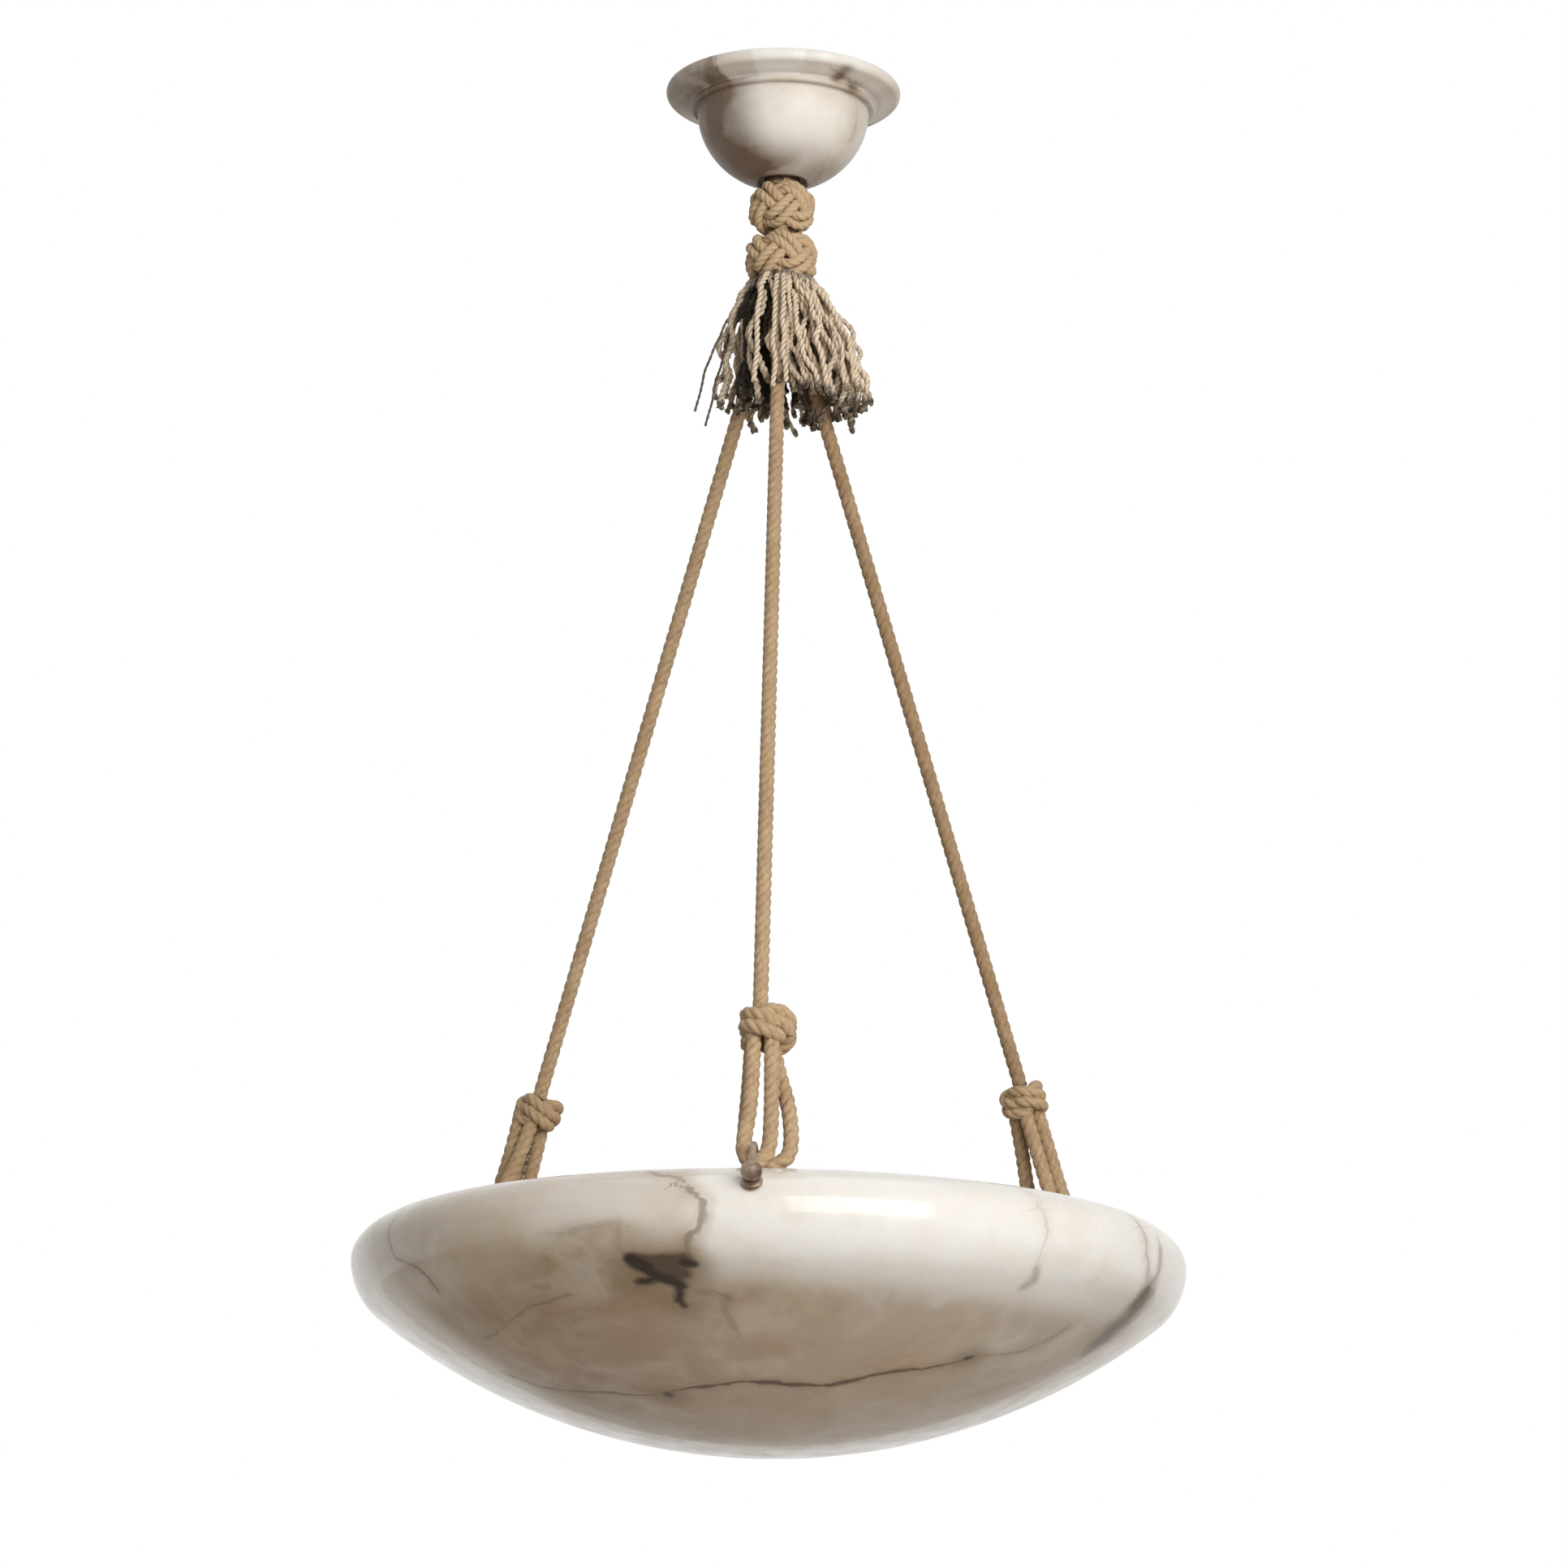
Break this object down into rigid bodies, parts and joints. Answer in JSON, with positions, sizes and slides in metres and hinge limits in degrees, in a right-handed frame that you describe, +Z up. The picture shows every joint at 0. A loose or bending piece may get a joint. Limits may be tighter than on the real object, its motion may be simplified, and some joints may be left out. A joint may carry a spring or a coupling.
{
  "type": "hanging bowl lamp",
  "caption": "Ceiling lamp with a shallow alabaster bowl slung on splayed ropes from a knotted, tasselled cord top under a small turned alabaster canopy",
  "frame": {"origin": "on the ceiling, at the middle of the ceiling plate's two screw holes", "axes": "+Z up into the ceiling, -Y toward the viewer and the near rope, +X to the viewer's right"},
  "size_m": [0.4499, 0.4593, 0.777],
  "materials": {
    "alabaster": "polished, translucent, veined",
    "rope": "laid fibre rope",
    "yarn": "twisted yarn",
    "bronze": "dark patina",
    "brass": "satin",
    "steel": "zinc plated",
    "felt": "felt",
    "block_plastic": "matte",
    "holder_plastic": "matte",
    "opal_glass": "opal"
  },
  "bodies": {
    "ceiling_mount": {"ceiling_plate": "steel", "ceiling_hook": "steel", "hook_lock_nut": "steel", "canopy_spring": "steel", "canopy": "alabaster", "terminal_block": "block_plastic", "terminal_screws": "brass", "terminal_bolts": "steel"},
    "link": {"hanging_ring": "steel"},
    "hanger": {"rope_cap": "brass", "cap_grub_screws": "steel", "upper_turks_head": "rope", "lower_turks_head": "rope", "tassel": "yarn", "bowl": "alabaster", "rim_washers": "felt", "rim_nuts": "brass", "lamp_hub": "brass", "arm_screws": "brass", "cable_gland": "holder_plastic", "rope_1": "rope", "lower_knot_1": "rope", "outer_loop_1": "rope", "inner_loop_1": "rope", "rim_bail_1": "bronze", "ball_pin_1": "bronze", "spider_arm_1": "brass", "lamp_holder_1": "holder_plastic", "rope_2": "rope", "lower_knot_2": "rope", "outer_loop_2": "rope", "inner_loop_2": "rope", "rim_bail_2": "bronze", "ball_pin_2": "bronze", "spider_arm_2": "brass", "lamp_holder_2": "holder_plastic", "rope_3": "rope", "lower_knot_3": "rope", "outer_loop_3": "rope", "inner_loop_3": "rope", "rim_bail_3": "bronze", "ball_pin_3": "bronze", "spider_arm_3": "brass", "lamp_holder_3": "holder_plastic"},
    "bulb_1": {"bulb_cap_1": "brass", "bulb_glass_1": "opal_glass"},
    "bulb_2": {"bulb_cap_2": "brass", "bulb_glass_2": "opal_glass"},
    "bulb_3": {"bulb_cap_3": "brass", "bulb_glass_3": "opal_glass"}
  },
  "joints": [
    {"name": "ring_swing", "type": "hinge", "parent": "ceiling_mount", "child": "link", "pos_m": [0, 0, -0.03789], "axis": [1, 0, 0], "range_deg": [-5, 5]},
    {"name": "hanger_swing", "type": "hinge", "parent": "link", "child": "hanger", "pos_m": [0, 0, -0.05009], "axis": [0, 1, 0], "range_deg": [-5, 5]},
    {"name": "bulb_1_out", "type": "slide", "parent": "hanger", "child": "bulb_1", "axis": [0.8406, -0.5314, 0.1045], "range_m": [0, 0.03]},
    {"name": "bulb_2_out", "type": "slide", "parent": "hanger", "child": "bulb_2", "axis": [0.0399, 0.9937, 0.1045], "range_m": [0, 0.03]},
    {"name": "bulb_3_out", "type": "slide", "parent": "hanger", "child": "bulb_3", "axis": [-0.8805, -0.4623, 0.1045], "range_m": [0, 0.03]}
  ]
}
